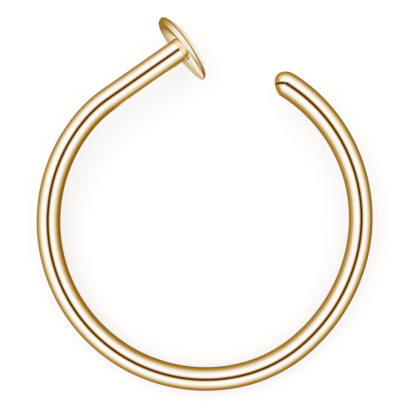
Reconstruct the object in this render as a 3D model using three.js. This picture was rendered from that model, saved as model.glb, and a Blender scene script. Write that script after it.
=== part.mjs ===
// A nose ring: an open hoop bent from one length of round wire. One end of the wire runs out straight
// and carries a small domed disc across it. The other end is free, a little thicker, and curls in
// slightly where it is rounded off. It is all one piece of polished, gold-coloured metal.
//
// Millimetres, +Z up. The ring lies on its side as it rests on a table: it stands on the rim of the
// disc and on the far side of the hoop. The origin is the middle of its footprint, on the table.

import * as THREE from 'three';
import { ConvexHull } from 'three/addons/math/ConvexHull.js';

// The wire and the hoop.
const WIRE_DIAMETER = 0.81;
const HOOP_INNER_DIAMETER = 10;
const POST_LENGTH = 2.92; // straight stretch, from the back of the disc to the first bend
const POST_ANGLE = 35; // degrees from +X, the way the post points when the hoop lies flat

// The bends that follow the post, in order along the wire. The hoop was bent by hand, so it isn't
// quite even, and its last row curls the free end in. sweep is in degrees and radius is a share of the
// hoop's own radius.
const BENDS = [
  { sweep: 16, radius: 0.78 },
  { sweep: 141, radius: 1 },
  { sweep: 28, radius: 0.9 },
  { sweep: 34, radius: 1.09 },
  { sweep: 73, radius: 1 },
  { sweep: 33, radius: 0.17 },
];

// The disc. It isn't quite square to the post, or quite central on it.
const DISC_DIAMETER = 2.57;
const DOME_RADIUS = 2.62; // of the sphere that the dome is a cap of
const RIM_ROUND = 0.16; // radius of the round between the dome and the rim
const RIM_HEIGHT = 0.12; // from the back to where the disc is widest
const BACK_FLAT_DIAMETER = 1.7; // the back is flat out to here, and rounds up to the rim beyond
const DISC_LEAN = 1; // degrees that the outer side of the dome leans back towards the hoop
const BACK_LEAN = 4.5; // the same for the flat back, so the disc is a little thicker on that side
const DISC_TILT = 5.5; // degrees that it tilts out of the hoop's plane, back upwards
const DISC_OFFSET = 0.03; // how far it is off the post's axis, towards the inner side of the hoop

// The free end.
const TIP_DIAMETER = 0.88;
const TIP_ROUNDING = 0.42; // length of the rounded end
const TIP_BLUNTNESS = 2.1; // 2 is a plain ellipse, and more is blunter
const SWELL_LENGTH = 5; // stretch over which the wire thickens up to the tip

// How finely the round shapes are cut into flat faces.
const SIDES = 24; // round the wire and the disc
const DOME_STEPS = 5;
const RIM_STEPS = 3;
const BACK_STEPS = 4;
const TIP_STEPS = 6;
const BEND_STEP = 5; // degrees of bend from one section of the hoop to the next

const wireRadius = WIRE_DIAMETER / 2;
const hoopRadius = (HOOP_INNER_DIAMETER + WIRE_DIAMETER) / 2;
const discRadius = DISC_DIAMETER / 2;
const backFlatRadius = BACK_FLAT_DIAMETER / 2;
const tipRadius = TIP_DIAMETER / 2;

// The round at the rim touches the dome's sphere from inside, which sets how deep the sphere's centre
// lies below the widest part of the disc, and so how thick the disc is.
const domeDepth = Math.sqrt((DOME_RADIUS - RIM_ROUND) ** 2 - (discRadius - RIM_ROUND) ** 2);
const discThickness = RIM_HEIGHT + DOME_RADIUS - domeDepth;

const bends = BENDS.map(({ sweep, radius }) => {
  const angle = THREE.MathUtils.degToRad(sweep);
  return { angle, radius: radius * hoopRadius, length: angle * radius * hoopRadius };
});
const postEnd = discThickness + POST_LENGTH;
const bentLength = bends.reduce((sum, bend) => sum + bend.length, 0);
const fullLength = postEnd + bentLength;

// The outline of the straightened ring is a list of round sections across its length. along starts at
// the top of the dome and ends at the free end. On the disc, offset is how far a section is off the
// middle line, and lean is how far it leans.
const section = (along, radius, lean, offset = 0) => ({ along, radius, lean, offset });

// Sections along an ellipse's arc, from one angle to the other. At 0 the arc faces the top of the dome,
// and at pi it faces the post and has come to its end's own lean.
function arcSections(centre, size, from, to, steps, endLean = DISC_LEAN) {
  return Array.from({ length: steps + 1 }, (_, step) => {
    const angle = THREE.MathUtils.lerp(from, to, step / steps);
    const along = centre.along - size.along * Math.cos(angle);
    const lean = THREE.MathUtils.lerp(DISC_LEAN, endLean, -Math.cos(angle));
    return section(along, centre.radius + size.radius * Math.sin(angle), lean, DISC_OFFSET);
  });
}

// The dome, the round over to the rim, and the round from the rim down to the flat back.
function discOutline() {
  const rimAlong = discThickness - RIM_HEIGHT;
  const touch = Math.atan2(discRadius - RIM_ROUND, domeDepth);
  const domeSize = section(DOME_RADIUS, DOME_RADIUS);
  const dome = arcSections(section(DOME_RADIUS, 0), domeSize, 0, touch, DOME_STEPS);
  const rimCentre = section(rimAlong, discRadius - RIM_ROUND);
  const rim = arcSections(rimCentre, section(RIM_ROUND, RIM_ROUND), touch, Math.PI / 2, RIM_STEPS);
  const backSize = section(RIM_HEIGHT, discRadius - backFlatRadius);
  const backCentre = section(rimAlong, backFlatRadius);
  const back = arcSections(backCentre, backSize, Math.PI / 2, Math.PI, BACK_STEPS, BACK_LEAN);
  return [...dome, ...rim.slice(1), ...back.slice(1)];
}

// The wire thickens smoothly over the last stretch before the tip.
function wireRadiusAt(along) {
  const tipStart = fullLength - TIP_ROUNDING;
  const swell = THREE.MathUtils.smoothstep(along, tipStart - SWELL_LENGTH, tipStart);
  return THREE.MathUtils.lerp(wireRadius, tipRadius, swell);
}

// One section at the foot of the post, one where it ends, and then one at each step of each bend.
function wireOutline() {
  const outline = [section(discThickness, wireRadius, BACK_LEAN), section(postEnd, wireRadius)];
  let along = postEnd;
  for (const bend of bends) {
    const steps = Math.max(1, Math.round(THREE.MathUtils.radToDeg(bend.angle) / BEND_STEP));
    for (let step = 1; step <= steps; step += 1) {
      outline.push(section(along + bend.length * step / steps));
    }
    along += bend.length;
  }
  const tipStart = fullLength - TIP_ROUNDING;
  const beforeTip = outline.filter((ring) => ring.along < tipStart);
  return beforeTip.map((ring) => section(ring.along, wireRadiusAt(ring.along), ring.lean));
}

// A blunt round end: a superellipse from the full thickness down to the axis.
function tipOutline() {
  return Array.from({ length: TIP_STEPS + 1 }, (_, step) => {
    const angle = Math.PI / 2 * step / TIP_STEPS;
    return section(
      fullLength - TIP_ROUNDING * (1 - Math.sin(angle) ** (2 / TIP_BLUNTNESS)),
      tipRadius * Math.cos(angle) ** (2 / TIP_BLUNTNESS),
    );
  });
}

// Where the wire's middle line is, and which way it heads, at a length along it. The line lies in the
// XY plane. It is straight as far as the end of the post, and then an arc for each bend.
function middleLine(along) {
  const heading = THREE.MathUtils.degToRad(POST_ANGLE + 180);
  const point = new THREE.Vector2(Math.cos(heading), Math.sin(heading));
  point.multiplyScalar(Math.min(along, postEnd));
  let turned = heading;
  let left = along - postEnd;
  for (const bend of bends) {
    if (left <= 0) break;
    const angle = bend.angle * Math.min(1, left / bend.length);
    point.x += bend.radius * (Math.sin(turned + angle) - Math.sin(turned));
    point.y += bend.radius * (Math.cos(turned) - Math.cos(turned + angle));
    turned += angle;
    left -= bend.length;
  }
  return { point, outward: new THREE.Vector2(Math.sin(turned), -Math.cos(turned)) };
}

// Turns the outline about its length, sets the disc out of square at the foot of the post, and then
// bends it all round the middle line. Until it is bent, X is outward, Y along and Z up.
function bentRing(outline) {
  const profile = outline.map((ring) => new THREE.Vector2(ring.radius, ring.along));
  const geometry = new THREE.LatheGeometry(profile, SIDES);
  const position = geometry.attributes.position;
  const foot = new THREE.Vector3(0, discThickness, 0);
  const outOfSquare = new THREE.Euler(THREE.MathUtils.degToRad(DISC_TILT), 0, 0);
  const vertex = new THREE.Vector3();
  for (let i = 0; i < position.count; i += 1) {
    vertex.fromBufferAttribute(position, i);
    const { lean, offset } = outline[i % outline.length];
    vertex.x -= offset;
    if (lean !== undefined) {
      outOfSquare.z = THREE.MathUtils.degToRad(lean);
      vertex.sub(foot).applyEuler(outOfSquare).add(foot);
    }
    const { point, outward } = middleLine(vertex.y);
    position.setXYZ(i, point.x + vertex.x * outward.x, point.y + vertex.x * outward.y, vertex.z);
  }
  return geometry;
}

function centreOfMass(geometry) {
  const position = geometry.attributes.position;
  const [a, b, c] = [new THREE.Vector3(), new THREE.Vector3(), new THREE.Vector3()];
  const centre = new THREE.Vector3();
  let volume = 0;
  for (let i = 0; i < geometry.index.count; i += 3) {
    a.fromBufferAttribute(position, geometry.index.getX(i));
    b.fromBufferAttribute(position, geometry.index.getX(i + 1));
    c.fromBufferAttribute(position, geometry.index.getX(i + 2));
    const share = a.dot(b.clone().cross(c));
    volume += share;
    centre.addScaledVector(a.add(b).add(c), share / 4);
  }
  return centre.divideScalar(volume);
}

// The ring rests on a face of its convex hull that its centre of mass stands over. Of those faces this
// is the one that looks down the most while the hoop lies flat.
function restingNormal(geometry) {
  const centre = centreOfMass(geometry);
  const hull = new ConvexHull().setFromObject(new THREE.Mesh(geometry));
  const stable = hull.faces.filter((face) => {
    const [a, b, c] = [0, 1, 2].map((corner) => face.getEdge(corner).head().point);
    const triangle = new THREE.Triangle(a, b, c);
    const below = triangle.getPlane(new THREE.Plane()).projectPoint(centre, new THREE.Vector3());
    return triangle.containsPoint(below);
  });
  return stable.reduce((best, face) => (face.normal.z < best.normal.z ? face : best)).normal;
}

// Lays the ring down on that face and puts the middle of its footprint on the origin.
function restOnTable(geometry) {
  const down = new THREE.Vector3(0, 0, -1);
  geometry.applyQuaternion(new THREE.Quaternion().setFromUnitVectors(restingNormal(geometry), down));
  geometry.computeBoundingBox();
  const { min, max } = geometry.boundingBox;
  geometry.translate(-(min.x + max.x) / 2, -(min.y + max.y) / 2, -min.z);
}

function noseRing() {
  const geometry = bentRing([...discOutline(), ...wireOutline(), ...tipOutline()]);
  restOnTable(geometry);
  geometry.computeVertexNormals();
  const gold = new THREE.MeshStandardMaterial({ color: 0xd9a441, metalness: 1, roughness: 0.12 });
  const mesh = new THREE.Mesh(geometry, gold);
  mesh.name = 'nose_hoop';
  return mesh;
}

const group = new THREE.Group();
group.add(noseRing());

export default group;
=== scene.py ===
# A gold-coloured nose ring lying on its side on a pale surface, seen square on from above.
#
# Metres, +Z up. The ring rests as it does in the frame, and the smooth ring here takes that node's
# place.

import math
from collections import namedtuple

import bmesh
import bpy
from mathutils import Matrix, Vector


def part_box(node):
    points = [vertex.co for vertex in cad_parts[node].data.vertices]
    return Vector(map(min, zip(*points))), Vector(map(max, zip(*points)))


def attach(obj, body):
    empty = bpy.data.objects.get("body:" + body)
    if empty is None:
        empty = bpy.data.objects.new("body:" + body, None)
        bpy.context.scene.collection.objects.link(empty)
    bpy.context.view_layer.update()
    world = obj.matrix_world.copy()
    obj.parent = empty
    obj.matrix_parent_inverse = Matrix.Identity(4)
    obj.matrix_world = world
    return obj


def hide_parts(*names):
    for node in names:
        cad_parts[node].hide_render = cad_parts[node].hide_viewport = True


MM = 0.001

# The wire and the hoop.
WIRE_DIAMETER = 0.81 * MM
HOOP_INNER_DIAMETER = 10 * MM
POST_LENGTH = 2.92 * MM
POST_ANGLE = 35
BENDS = [  # sweep in degrees, radius as a share of the hoop's own
    (16, 0.78),
    (141, 1),
    (28, 0.9),
    (34, 1.09),
    (73, 1),
    (33, 0.17),
]

# The disc.
DISC_DIAMETER = 2.57 * MM
DOME_RADIUS = 2.62 * MM
RIM_ROUND = 0.16 * MM
RIM_HEIGHT = 0.12 * MM
BACK_FLAT_DIAMETER = 1.7 * MM
DISC_LEAN = 1
BACK_LEAN = 4.5
DISC_TILT = 5.5
DISC_OFFSET = 0.03 * MM
FOOT_FILLET = 0.01 * MM  # where the wire runs into the disc's back
GROOVE_WIDTH = 0.1 * MM  # a fine line round the rim, just behind its widest part
GROOVE_DEPTH = 0.03 * MM
GROOVE_PLACE = 0.025 * MM

# The free end.
TIP_DIAMETER = 0.88 * MM
TIP_ROUNDING = 0.42 * MM
TIP_BLUNTNESS = 2.1
SWELL_LENGTH = 5 * MM

# How the ring rests: the upward normal of the hoop's plane, along X and Y.
RESTING_NORMAL = (0.006054, -0.077854)

# The camera looks straight down on the hoop's plane.
CAMERA_AT = (0.3575 * MM, -3.23657 * MM, 40.7394 * MM)
CAMERA_RIGHT = (0.999981, 0.001288, -0.005972)
CAMERA_BACK = (0.006054, -0.077854, 0.996946)
FOCAL_LENGTH = 100.73
SENSOR_WIDTH = 36

# How finely the round shapes are cut.
SIDES = 96  # round the wire and the disc
BEND_STEP = 0.8  # degrees of bend from one section of the hoop to the next
DOME_STEPS = 60
RIM_STEPS = 40
BACK_STEPS = 60
FILLET_STEPS = 6
POST_STEPS = 30
TIP_STEPS = 40
NEAR = 0.001 * MM  # no section lies closer than this to the start of the tip
TINY = 1e-9  # a section thinner than this is a single point

# What the metal mirrors, by angle from straight above the hoop: the dark opening in the top of a light
# tent, the tent's bright cloth, its dim lower part, and what is under it. Each row is the angle and how
# bright the metal looks there, from 0 to 1, away from the light and towards it.
REFLECTED = [
    (0, 0.09, 0.09),
    (6, 0.10, 0.10),
    (9, 0.24, 0.24),
    (12.5, 0.50, 0.50),
    (17, 0.76, 0.76),
    (23, 0.93, 0.93),
    (33, 0.985, 0.985),
    (45, 0.98, 0.985),
    (54, 0.935, 0.965),
    (60, 0.89, 0.955),
    (68, 0.82, 0.905),
    (76, 0.735, 0.84),
    (84, 0.64, 0.755),
    (92, 0.535, 0.655),
    (100, 0.44, 0.56),
    (108, 0.365, 0.50),
    (118, 0.31, 0.43),
    (130, 0.26, 0.38),
    (150, 0.24, 0.36),
    (180, 0.24, 0.36),
]
BRIGHT_SIDE = math.radians(165)  # the side that the brighter light stands on, from +X
SIDE_REACH = 0.9  # how far towards a side the light goes on changing
MOST = 8.0  # what the ramp's full value stands for

# How much red, green and blue the gold mirrors, seen square on and seen aslant.
GOLD = (0.92, 0.72, 0.38)
GOLD_ASLANT = (0.945, 0.80, 0.57)

# How fast red, green and blue fall off where the metal looks darker. Blue falls off faster still below
# a certain look, which turns gold into brown.
FALL_OFF = (1, 1.7, 3.2)
BROWN_BELOW = 0.7
BROWN_FALL_OFF = 3.8

# Two cards beside the disc that glow and light nothing, painted pale reflections that only the metal
# shows, and how bright
# they make the metal: first by the distance in millimetres in front of the disc, and then by the
# distance towards the outer side of the post.
CARDS_AT = (-0.7 * MM, 5.45 * MM, -0.3 * MM)
FRONT_CARD = (
    [(-0.6, 0.6), (0, 0.64), (0.45, 0.68), (0.75, 0.74), (0.95, 0.84),
     (1.2, 0.95), (1.5, 0.94), (1.9, 0.88), (3.2, 0.82)],
    [(-1.5, 0.6), (-1.3, 0.92), (-0.6, 1.0), (0.2, 1.0), (0.8, 0.92), (1.9, 0.7)],
)
BACK_CARD = (
    [(-3.2, 0.4), (-2.8, 0.9), (-1.5, 0.98), (-1.1, 0.97), (-1.0, 0.95),
     (-0.9, 0.91), (-0.75, 0.86), (-0.6, 0.76), (-0.2, 0.6)],
    [(-1.9, 0.95), (-0.28, 1.0), (-0.2, 0.3), (0.25, 0.3), (0.33, 0.97),
     (0.7, 0.93), (0.9, 0.80), (1.1, 0.6), (1.4, 0.35)],
)

# An upright brown screen that glows dimly, curved round the side of the free end that faces the disc.
# Only the metal
# sees it: a painted brown reflection on the free end, which keeps the cards out of the free end's
# mirror image.
SCREEN_AT = (2.86 * MM, 4.09 * MM)
SCREEN_RADIUS = 0.64 * MM
SCREEN_HEIGHTS = (-0.3 * MM, 1.38 * MM)
SCREEN_SWEEP = (95, 235)  # degrees from +X
SCREEN_LOOK = 0.42

# A narrow dark band that arches over the rounding of the free end, from above it out to that side. It
# glows dimly and only
# the metal sees it: a painted dark reflection that carries the dark line on the wire's crest round to
# the very end.
BAND_AT = Vector((2.86, 4.08, 1.17)) * MM
BAND_RADIUS = 0.57 * MM
BAND_SWEEP = (-1, 118)  # degrees from straight up
BAND_WAY = math.radians(177)  # the way that it arches, from +X
BAND_EDGES = [-0.09, -0.06, -0.035, 0.035, 0.06, 0.09]  # across it, in millimetres
BAND_LOOKS = [0.62, 0.3, 0.09, 0.3, 0.62]  # between those
BAND_TAPER = 9  # degrees by which each strip starts later than the one inside it
RIBBON_STEPS = 28  # along the screen and along the band

# The floor, the plain world and the lamp.
FLOOR_RADIUS = 0.6
FLOOR_GREY = 0.35
FLOOR_GLOW = 0.66
WORLD_LIGHT = 0.98
LAMP_AT = Vector((-0.06, 0.05, 0.12))
LAMP_SIZE = 0.12
LAMP_ENERGY = 0.035

wire_radius = WIRE_DIAMETER / 2
hoop_radius = (HOOP_INNER_DIAMETER + WIRE_DIAMETER) / 2
disc_radius = DISC_DIAMETER / 2
back_flat_radius = BACK_FLAT_DIAMETER / 2
tip_radius = TIP_DIAMETER / 2
dome_depth = math.sqrt((DOME_RADIUS - RIM_ROUND) ** 2 - (disc_radius - RIM_ROUND) ** 2)
disc_thickness = RIM_HEIGHT + DOME_RADIUS - dome_depth
bends = [(math.radians(sweep), share * hoop_radius) for sweep, share in BENDS]
post_end = disc_thickness + POST_LENGTH
full_length = post_end + sum(angle * radius for angle, radius in bends)

Section = namedtuple("Section", "along radius lean offset", defaults=(None, 0))


def steps(low, high, count):
    return [low + (high - low) * i / count for i in range(count + 1)]


def disc_outline():
    """Sections from the top of the dome over the rim to the back, and the fillet at the wire's foot."""
    touch = math.atan2(disc_radius - RIM_ROUND, dome_depth)
    rim_along = disc_thickness - RIM_HEIGHT
    points = []
    for angle in steps(0, touch, DOME_STEPS):
        points.append((DOME_RADIUS * (1 - math.cos(angle)), DOME_RADIUS * math.sin(angle)))
    for angle in steps(touch, math.pi / 2, RIM_STEPS)[1:]:
        along = rim_along - RIM_ROUND * math.cos(angle)
        points.append((along, disc_radius - RIM_ROUND * (1 - math.sin(angle))))
    leans = [DISC_LEAN] * len(points)
    for angle in steps(math.pi / 2, math.pi, BACK_STEPS)[1:]:
        radius = back_flat_radius + (disc_radius - back_flat_radius) * math.sin(angle)
        points.append((rim_along - RIM_HEIGHT * math.cos(angle), radius))
        leans.append(DISC_LEAN - (BACK_LEAN - DISC_LEAN) * math.cos(angle))
    sections = []
    for (along, radius), lean in zip(points, leans):
        off = min(1, abs(along - rim_along - GROOVE_PLACE) / (GROOVE_WIDTH / 2))
        groove = GROOVE_DEPTH * (1 + math.cos(math.pi * off)) / 2
        sections.append(Section(along, radius - groove, lean, DISC_OFFSET))
    for angle in steps(0, math.pi / 2, FILLET_STEPS):
        along = disc_thickness + FOOT_FILLET * (1 - math.cos(angle))
        sections.append(Section(along, wire_radius + FOOT_FILLET * (1 - math.sin(angle)), BACK_LEAN))
    return sections


def wire_radius_at(along):
    """The wire thickens smoothly over the last stretch before the tip."""
    tip_start = full_length - TIP_ROUNDING
    share = min(1, max(0, (along - tip_start + SWELL_LENGTH) / SWELL_LENGTH))
    return wire_radius + (tip_radius - wire_radius) * share * share * (3 - 2 * share)


def wire_outline():
    """Sections from just past the fillet, along the post and the bends, to the start of the tip."""
    alongs = steps(disc_thickness + 3 * FOOT_FILLET, post_end, POST_STEPS)
    for angle, radius in bends:
        count = max(1, round(math.degrees(angle) / BEND_STEP))
        alongs += steps(alongs[-1], alongs[-1] + angle * radius, count)[1:]
    tip_start = full_length - TIP_ROUNDING
    return [Section(a, wire_radius_at(a)) for a in alongs if a < tip_start - NEAR]


def tip_outline():
    """A blunt round end: a superellipse from the full thickness down to the axis."""
    sections = []
    for angle in steps(0, math.pi / 2, TIP_STEPS):
        share = math.sin(angle) ** (2 / TIP_BLUNTNESS)
        along = full_length - TIP_ROUNDING * (1 - share)
        radius = tip_radius * max(0.0, math.cos(angle)) ** (2 / TIP_BLUNTNESS)
        sections.append(Section(along, radius))
    return sections


def middle_line(along):
    """Where the wire's middle line is at a length along it, and the way out of the hoop there."""
    heading = math.radians(POST_ANGLE + 180)
    reach = min(along, post_end)
    x, y = reach * math.cos(heading), reach * math.sin(heading)
    left = along - post_end
    for angle, radius in bends:
        if left <= 0:
            break
        turn = angle * min(1, left / (angle * radius))
        x += radius * (math.sin(heading + turn) - math.sin(heading))
        y += radius * (math.cos(heading) - math.cos(heading + turn))
        heading += turn
        left -= angle * radius
    return x, y, math.sin(heading), -math.cos(heading)


def ring_mesh():
    """The ring's outline turned about its length and bent round its middle line, lying flat."""
    tilt = Matrix.Rotation(math.radians(DISC_TILT), 3, "X")
    foot = Vector((0, disc_thickness, 0))
    bm = bmesh.new()
    straight = bm.verts.layers.float_vector.new("straight")
    rings = []
    for section in disc_outline() + wire_outline() + tip_outline():
        ring = []
        pole = section.radius < TINY
        for side in range(1 if pole else SIDES):
            angle = 2 * math.pi * side / SIDES
            x, z = section.radius * math.sin(angle), section.radius * math.cos(angle)
            place = Vector((x - section.offset, section.along, z))
            if section.lean is not None:
                out_of_square = tilt @ Matrix.Rotation(math.radians(section.lean), 3, "Z")
                place = out_of_square @ (place - foot) + foot
            px, py, ox, oy = middle_line(place.y)
            vert = bm.verts.new((px + place.x * ox, py + place.x * oy, place.z))
            vert[straight] = Vector((x, section.along, z))
            ring.append(vert)
        rings.append(ring)
    for one, two in zip(rings, rings[1:]):
        for i in range(SIDES):
            j = (i + 1) % SIDES
            corners = [one[i % len(one)], one[j % len(one)], two[j % len(two)], two[i % len(two)]]
            bm.faces.new(list(dict.fromkeys(corners)))
    bmesh.ops.recalc_face_normals(bm, faces=bm.faces)
    mesh = bpy.data.meshes.new("ring")
    bm.to_mesh(mesh)
    bm.free()
    return mesh


def rest_in_frame(mesh):
    """Lays the flat ring down on the face it rests on, in the place of the frame's ring."""
    nx, ny = RESTING_NORMAL
    resting = Vector((nx, ny, -math.sqrt(1 - nx * nx - ny * ny)))
    mesh.transform(resting.rotation_difference(Vector((0, 0, -1))).to_matrix().to_4x4())
    low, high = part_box("nose_hoop")
    xs, ys, zs = zip(*(v.co for v in mesh.vertices))
    mesh.transform(Matrix.Translation((
        (low.x + high.x) / 2 - (min(xs) + max(xs)) / 2,
        (low.y + high.y) / 2 - (min(ys) + max(ys)) / 2,
        low.z - min(zs),
    )))


def node(tree, kind, **values):
    made = tree.nodes.new(kind)
    for name, value in values.items():
        setattr(made, name, value)
    return made


def colour_ramp(tree, source, stops):
    ramp = node(tree, "ShaderNodeValToRGB")
    elements = ramp.color_ramp.elements
    elements.remove(elements[1])
    for i, (place, colour) in enumerate(stops):
        element = elements[0] if i == 0 else elements.new(place)
        element.position = place
        element.color = [*colour, 1]
    tree.links.new(source, ramp.inputs["Fac"])
    return ramp


def polished_gold():
    """Polished yellow gold plating: almost a mirror, with fine polishing marks along the wire."""
    material = bpy.data.materials.new("polished_gold")
    material.use_nodes = True
    tree = material.node_tree
    link = tree.links.new
    shader = tree.nodes["Principled BSDF"]
    shader.inputs["Metallic"].default_value = 1.0
    place = node(tree, "ShaderNodeAttribute", attribute_name="straight")

    # The plating's colour drifts a little from place to place.
    drift = node(tree, "ShaderNodeTexNoise")
    drift.inputs["Scale"].default_value = 900
    drift.inputs["Detail"].default_value = 2
    link(place.outputs["Vector"], drift.inputs["Vector"])
    stops = [(0.3, (0.91, 0.70, 0.365)), (0.7, (0.93, 0.74, 0.395))]
    colour = colour_ramp(tree, drift.outputs["Fac"], stops)
    link(colour.outputs["Color"], shader.inputs["Base Color"])

    # Faint smears where it was wiped.
    smears = node(tree, "ShaderNodeTexNoise")
    smears.inputs["Scale"].default_value = 2600
    smears.inputs["Detail"].default_value = 3
    link(place.outputs["Vector"], smears.inputs["Vector"])
    shine = node(tree, "ShaderNodeMapRange")
    shine.inputs["From Min"].default_value = 0.35
    shine.inputs["From Max"].default_value = 0.75
    shine.inputs["To Min"].default_value = 0.045
    shine.inputs["To Max"].default_value = 0.085
    link(smears.outputs["Fac"], shine.inputs["Value"])
    link(shine.outputs["Result"], shader.inputs["Roughness"])

    # Polishing marks, a few hundredths of a millimetre apart, drawn out along the wire.
    stretch = node(tree, "ShaderNodeMapping")
    stretch.inputs["Scale"].default_value = (30000, 900, 30000)
    link(place.outputs["Vector"], stretch.inputs["Vector"])
    marks = node(tree, "ShaderNodeTexNoise")
    marks.inputs["Scale"].default_value = 1
    marks.inputs["Detail"].default_value = 2
    link(stretch.outputs["Vector"], marks.inputs["Vector"])
    bump = node(tree, "ShaderNodeBump")
    bump.inputs["Strength"].default_value = 0.05
    bump.inputs["Distance"].default_value = 0.002 * MM
    link(marks.outputs["Fac"], bump.inputs["Height"])
    link(bump.outputs["Normal"], shader.inputs["Normal"])
    return material


def light_of(look):
    """The light that makes the metal look this bright: pale near 1, golden and then brown below."""
    red, green, blue = FALL_OFF
    powers = (red, green, blue + BROWN_FALL_OFF * max(0, BROWN_BELOW - look))
    return [look ** power / share for power, share in zip(powers, GOLD)]


def light_tent():
    """Makes the world and gives the socket that carries the tent's light."""
    world = bpy.data.worlds.new("light_tent")
    bpy.context.scene.world = world
    world.use_nodes = True
    tree = world.node_tree
    link = tree.links.new
    tree.nodes.clear()
    around = node(tree, "ShaderNodeTexCoord")
    above = node(tree, "ShaderNodeVectorMath", operation="DOT_PRODUCT")
    above.inputs[1].default_value = CAMERA_BACK
    link(around.outputs["Generated"], above.inputs[0])
    angle = node(tree, "ShaderNodeMath", operation="ARCCOSINE")
    link(above.outputs["Value"], angle.inputs[0])
    share = node(tree, "ShaderNodeMath", operation="DIVIDE")
    share.inputs[1].default_value = math.pi
    link(angle.outputs["Value"], share.inputs[0])
    side = node(tree, "ShaderNodeVectorMath", operation="DOT_PRODUCT")
    side.inputs[1].default_value = (math.cos(BRIGHT_SIDE), math.sin(BRIGHT_SIDE), 0)
    link(around.outputs["Generated"], side.inputs[0])
    facing = node(tree, "ShaderNodeMapRange")
    facing.inputs["From Min"].default_value = -SIDE_REACH
    facing.inputs["From Max"].default_value = SIDE_REACH
    link(side.outputs["Value"], facing.inputs["Value"])

    looks = []
    for column in (1, 2):
        stops = []
        for row in REFLECTED:
            light = [min(1, part / MOST) for part in light_of(row[column])]
            stops.append((row[0] / 180, light))
        looks.append(colour_ramp(tree, share.outputs["Value"], stops))
    mix = node(tree, "ShaderNodeMix", data_type="RGBA")
    link(facing.outputs["Result"], mix.inputs["Factor"])
    link(looks[0].outputs["Color"], mix.inputs["A"])
    link(looks[1].outputs["Color"], mix.inputs["B"])
    return next(socket for socket in mix.outputs if socket.type == "RGBA")


def lit_world():
    """The metal mirrors the light tent, and everything else is lit by a plain pale world."""
    tent = light_tent()
    world = bpy.context.scene.world
    tree = world.node_tree
    link = tree.links.new
    mirrored = node(tree, "ShaderNodeBackground")
    mirrored.inputs["Strength"].default_value = MOST
    link(tent, mirrored.inputs["Color"])
    plain = node(tree, "ShaderNodeBackground")
    plain.inputs["Color"].default_value = (1, 0.998, 0.99, 1)
    plain.inputs["Strength"].default_value = WORLD_LIGHT
    ray = node(tree, "ShaderNodeLightPath")
    either = node(tree, "ShaderNodeMixShader")
    link(ray.outputs["Is Glossy Ray"], either.inputs[0])
    link(plain.outputs[0], either.inputs[1])
    link(mirrored.outputs[0], either.inputs[2])
    out = node(tree, "ShaderNodeOutputWorld")
    link(either.outputs[0], out.inputs["Surface"])


def rows_of(tree, source, rows):
    """A ramp of grey looks by a distance, each row the distance in millimetres and the look."""
    link = tree.links.new
    low, high = rows[0][0] * MM, rows[-1][0] * MM
    ranged = node(tree, "ShaderNodeMapRange")
    ranged.inputs["From Min"].default_value = low
    ranged.inputs["From Max"].default_value = high
    link(source, ranged.inputs["Value"])
    stops = [((at * MM - low) / (high - low), (look, look, look)) for at, look in rows]
    return colour_ramp(tree, ranged.outputs["Result"], stops).outputs["Color"]


def glow_material(name):
    """A material that only glows, with its node tree and the socket that its colour goes into."""
    material = bpy.data.materials.new(name)
    material.use_nodes = True
    tree = material.node_tree
    tree.nodes.clear()
    glow = node(tree, "ShaderNodeEmission")
    out = node(tree, "ShaderNodeOutputMaterial")
    tree.links.new(glow.outputs[0], out.inputs["Surface"])
    return material, tree, glow.inputs["Color"]


def plain_glow(name, look):
    material, _, colour = glow_material(name)
    colour.default_value = [*light_of(look), 1]
    return material


def seen_in_the_metal(name, bm, material):
    """A shape that only the metal's mirror image shows, so that its glow is a painted reflection that
    lights nothing.
    """
    mesh = bpy.data.meshes.new(name)
    bm.to_mesh(mesh)
    bm.free()
    mesh.materials.append(material)
    shape = bpy.data.objects.new(name, mesh)
    bpy.context.scene.collection.objects.link(shape)
    shape.visible_camera = False
    shape.visible_diffuse = False
    shape.visible_shadow = False
    return shape


def ribbon(name, rungs, material):
    """A strip between two edges, which the rungs give as pairs of places."""
    bm = bmesh.new()
    pairs = [[bm.verts.new(place) for place in rung] for rung in rungs]
    for (one, two), (next_one, next_two) in zip(pairs, pairs[1:]):
        bm.faces.new([one, next_one, next_two, two])
    seen_in_the_metal(name, bm, material)


def light_card(name, looks):
    """A small pale card just under the floor that glows, which only the metal sees: a painted
    reflection that fills in the disc.
    """
    ahead, aside = looks
    material, tree, glow_colour = glow_material(name)
    link = tree.links.new
    place = node(tree, "ShaderNodeTexCoord")
    split = node(tree, "ShaderNodeSeparateXYZ")
    link(place.outputs["Object"], split.inputs[0])
    look = node(tree, "ShaderNodeMath", operation="MULTIPLY")
    link(rows_of(tree, split.outputs["X"], ahead), look.inputs[0])
    link(rows_of(tree, split.outputs["Y"], aside), look.inputs[1])
    colour = node(tree, "ShaderNodeCombineColor")
    for i, power in enumerate(FALL_OFF):
        raised = node(tree, "ShaderNodeMath", operation="POWER")
        raised.inputs[1].default_value = power
        link(look.outputs[0], raised.inputs[0])
        shared = node(tree, "ShaderNodeMath", operation="DIVIDE")
        shared.inputs[1].default_value = GOLD_ASLANT[i]
        link(raised.outputs[0], shared.inputs[0])
        link(shared.outputs[0], colour.inputs[i])
    link(colour.outputs[0], glow_colour)

    bm = bmesh.new()
    low, high, near, far = [rows[end][0] * MM for rows in (ahead, aside) for end in (0, -1)]
    corners = [(low, near), (high, near), (high, far), (low, far)]
    bm.faces.new([bm.verts.new((x, y, 0)) for x, y in corners])
    card = seen_in_the_metal(name, bm, material)
    card.location = CARDS_AT
    card.rotation_euler = (0, 0, math.radians(POST_ANGLE + DISC_LEAN))


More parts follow.
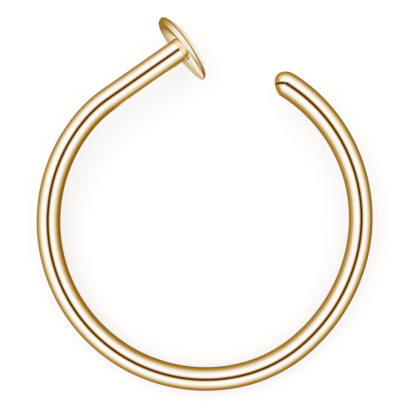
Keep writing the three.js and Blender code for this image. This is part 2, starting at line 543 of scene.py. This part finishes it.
# The brown screen glows and lights nothing: a painted reflection on the free end.
def painted_tip_reflection():
    rungs = []
    for degrees in steps(*SCREEN_SWEEP, RIBBON_STEPS):
        angle = math.radians(degrees)
        x = SCREEN_AT[0] + SCREEN_RADIUS * math.cos(angle)
        y = SCREEN_AT[1] + SCREEN_RADIUS * math.sin(angle)
        rungs.append([(x, y, height) for height in SCREEN_HEIGHTS])
    ribbon("painted_tip_reflection", rungs, plain_glow("painted_tip_reflection", SCREEN_LOOK))


def painted_dark_band():
    """The band, a painted dark reflection, is made of strips along its length, each with its own look.
    """
    out = Vector((math.cos(BAND_WAY), math.sin(BAND_WAY), 0))
    across = Vector((-out.y, out.x, 0))
    for i, look in enumerate(BAND_LOOKS):
        rungs = []
        start = BAND_SWEEP[0] + BAND_TAPER * abs(i - len(BAND_LOOKS) // 2)
        for degrees in steps(start, BAND_SWEEP[1], RIBBON_STEPS):
            angle = math.radians(degrees)
            place = BAND_AT + BAND_RADIUS * (out * math.sin(angle) + Vector((0, 0, math.cos(angle))))
            rungs.append([place + across * edge * MM for edge in BAND_EDGES[i:i + 2]])
        name = f"painted_dark_band_{i}"
        ribbon(name, rungs, plain_glow(name, look))


def pale_floor():
    material = bpy.data.materials.new("pale_floor")
    material.use_nodes = True
    shader = material.node_tree.nodes["Principled BSDF"]
    shader.inputs["Base Color"].default_value = (FLOOR_GREY, FLOOR_GREY, FLOOR_GREY, 1)
    shader.inputs["Emission Color"].default_value = (1, 1, 0.995, 1)
    shader.inputs["Emission Strength"].default_value = FLOOR_GLOW
    shader.inputs["Roughness"].default_value = 0.6
    shader.inputs["Specular IOR Level"].default_value = 0.0
    bm = bmesh.new()
    bmesh.ops.create_circle(bm, cap_ends=True, segments=128, radius=FLOOR_RADIUS)
    mesh = bpy.data.meshes.new("floor")
    bm.to_mesh(mesh)
    bm.free()
    floor = bpy.data.objects.new("floor", mesh)
    bpy.context.scene.collection.objects.link(floor)
    floor.data.materials.append(material)
    floor.visible_glossy = False


def soft_light():
    lamp = bpy.data.lights.new("softbox", "AREA")
    lamp.shape = "DISK"
    lamp.size = LAMP_SIZE
    lamp.energy = LAMP_ENERGY
    holder = bpy.data.objects.new("softbox", lamp)
    bpy.context.scene.collection.objects.link(holder)
    holder.location = LAMP_AT
    holder.rotation_euler = (-LAMP_AT).to_track_quat("-Z", "Y").to_euler()
    holder.visible_camera = False
    holder.visible_glossy = False


def camera():
    view = bpy.data.cameras.new("camera")
    view.lens = FOCAL_LENGTH
    view.sensor_width = SENSOR_WIDTH
    view.clip_start = 0.001
    view.clip_end = 10
    holder = bpy.data.objects.new("camera", view)
    bpy.context.scene.collection.objects.link(holder)
    back = Vector(CAMERA_BACK).normalized()
    right = Vector(CAMERA_RIGHT)
    right = (right - back * right.dot(back)).normalized()
    turn = Matrix((right, back.cross(right), back)).transposed()
    holder.matrix_world = Matrix.Translation(CAMERA_AT) @ turn.to_4x4()
    bpy.context.scene.camera = holder


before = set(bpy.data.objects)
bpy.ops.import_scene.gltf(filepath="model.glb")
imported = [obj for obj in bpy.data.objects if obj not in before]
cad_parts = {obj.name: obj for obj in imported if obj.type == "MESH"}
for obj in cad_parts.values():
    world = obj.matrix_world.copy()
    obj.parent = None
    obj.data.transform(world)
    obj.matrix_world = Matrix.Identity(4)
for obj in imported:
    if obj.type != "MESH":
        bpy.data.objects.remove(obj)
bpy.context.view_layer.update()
camera()

mesh = ring_mesh()
rest_in_frame(mesh)
for face in mesh.polygons:
    face.use_smooth = True
mesh.materials.append(polished_gold())
ring = bpy.data.objects.new("ring", mesh)
bpy.context.scene.collection.objects.link(ring)
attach(ring, "root")
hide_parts("nose_hoop")

pale_floor()
light_card("front_card", FRONT_CARD)
light_card("back_card", BACK_CARD)
painted_tip_reflection()
painted_dark_band()
lit_world()
soft_light()
bpy.context.scene.view_settings.view_transform = "Standard"
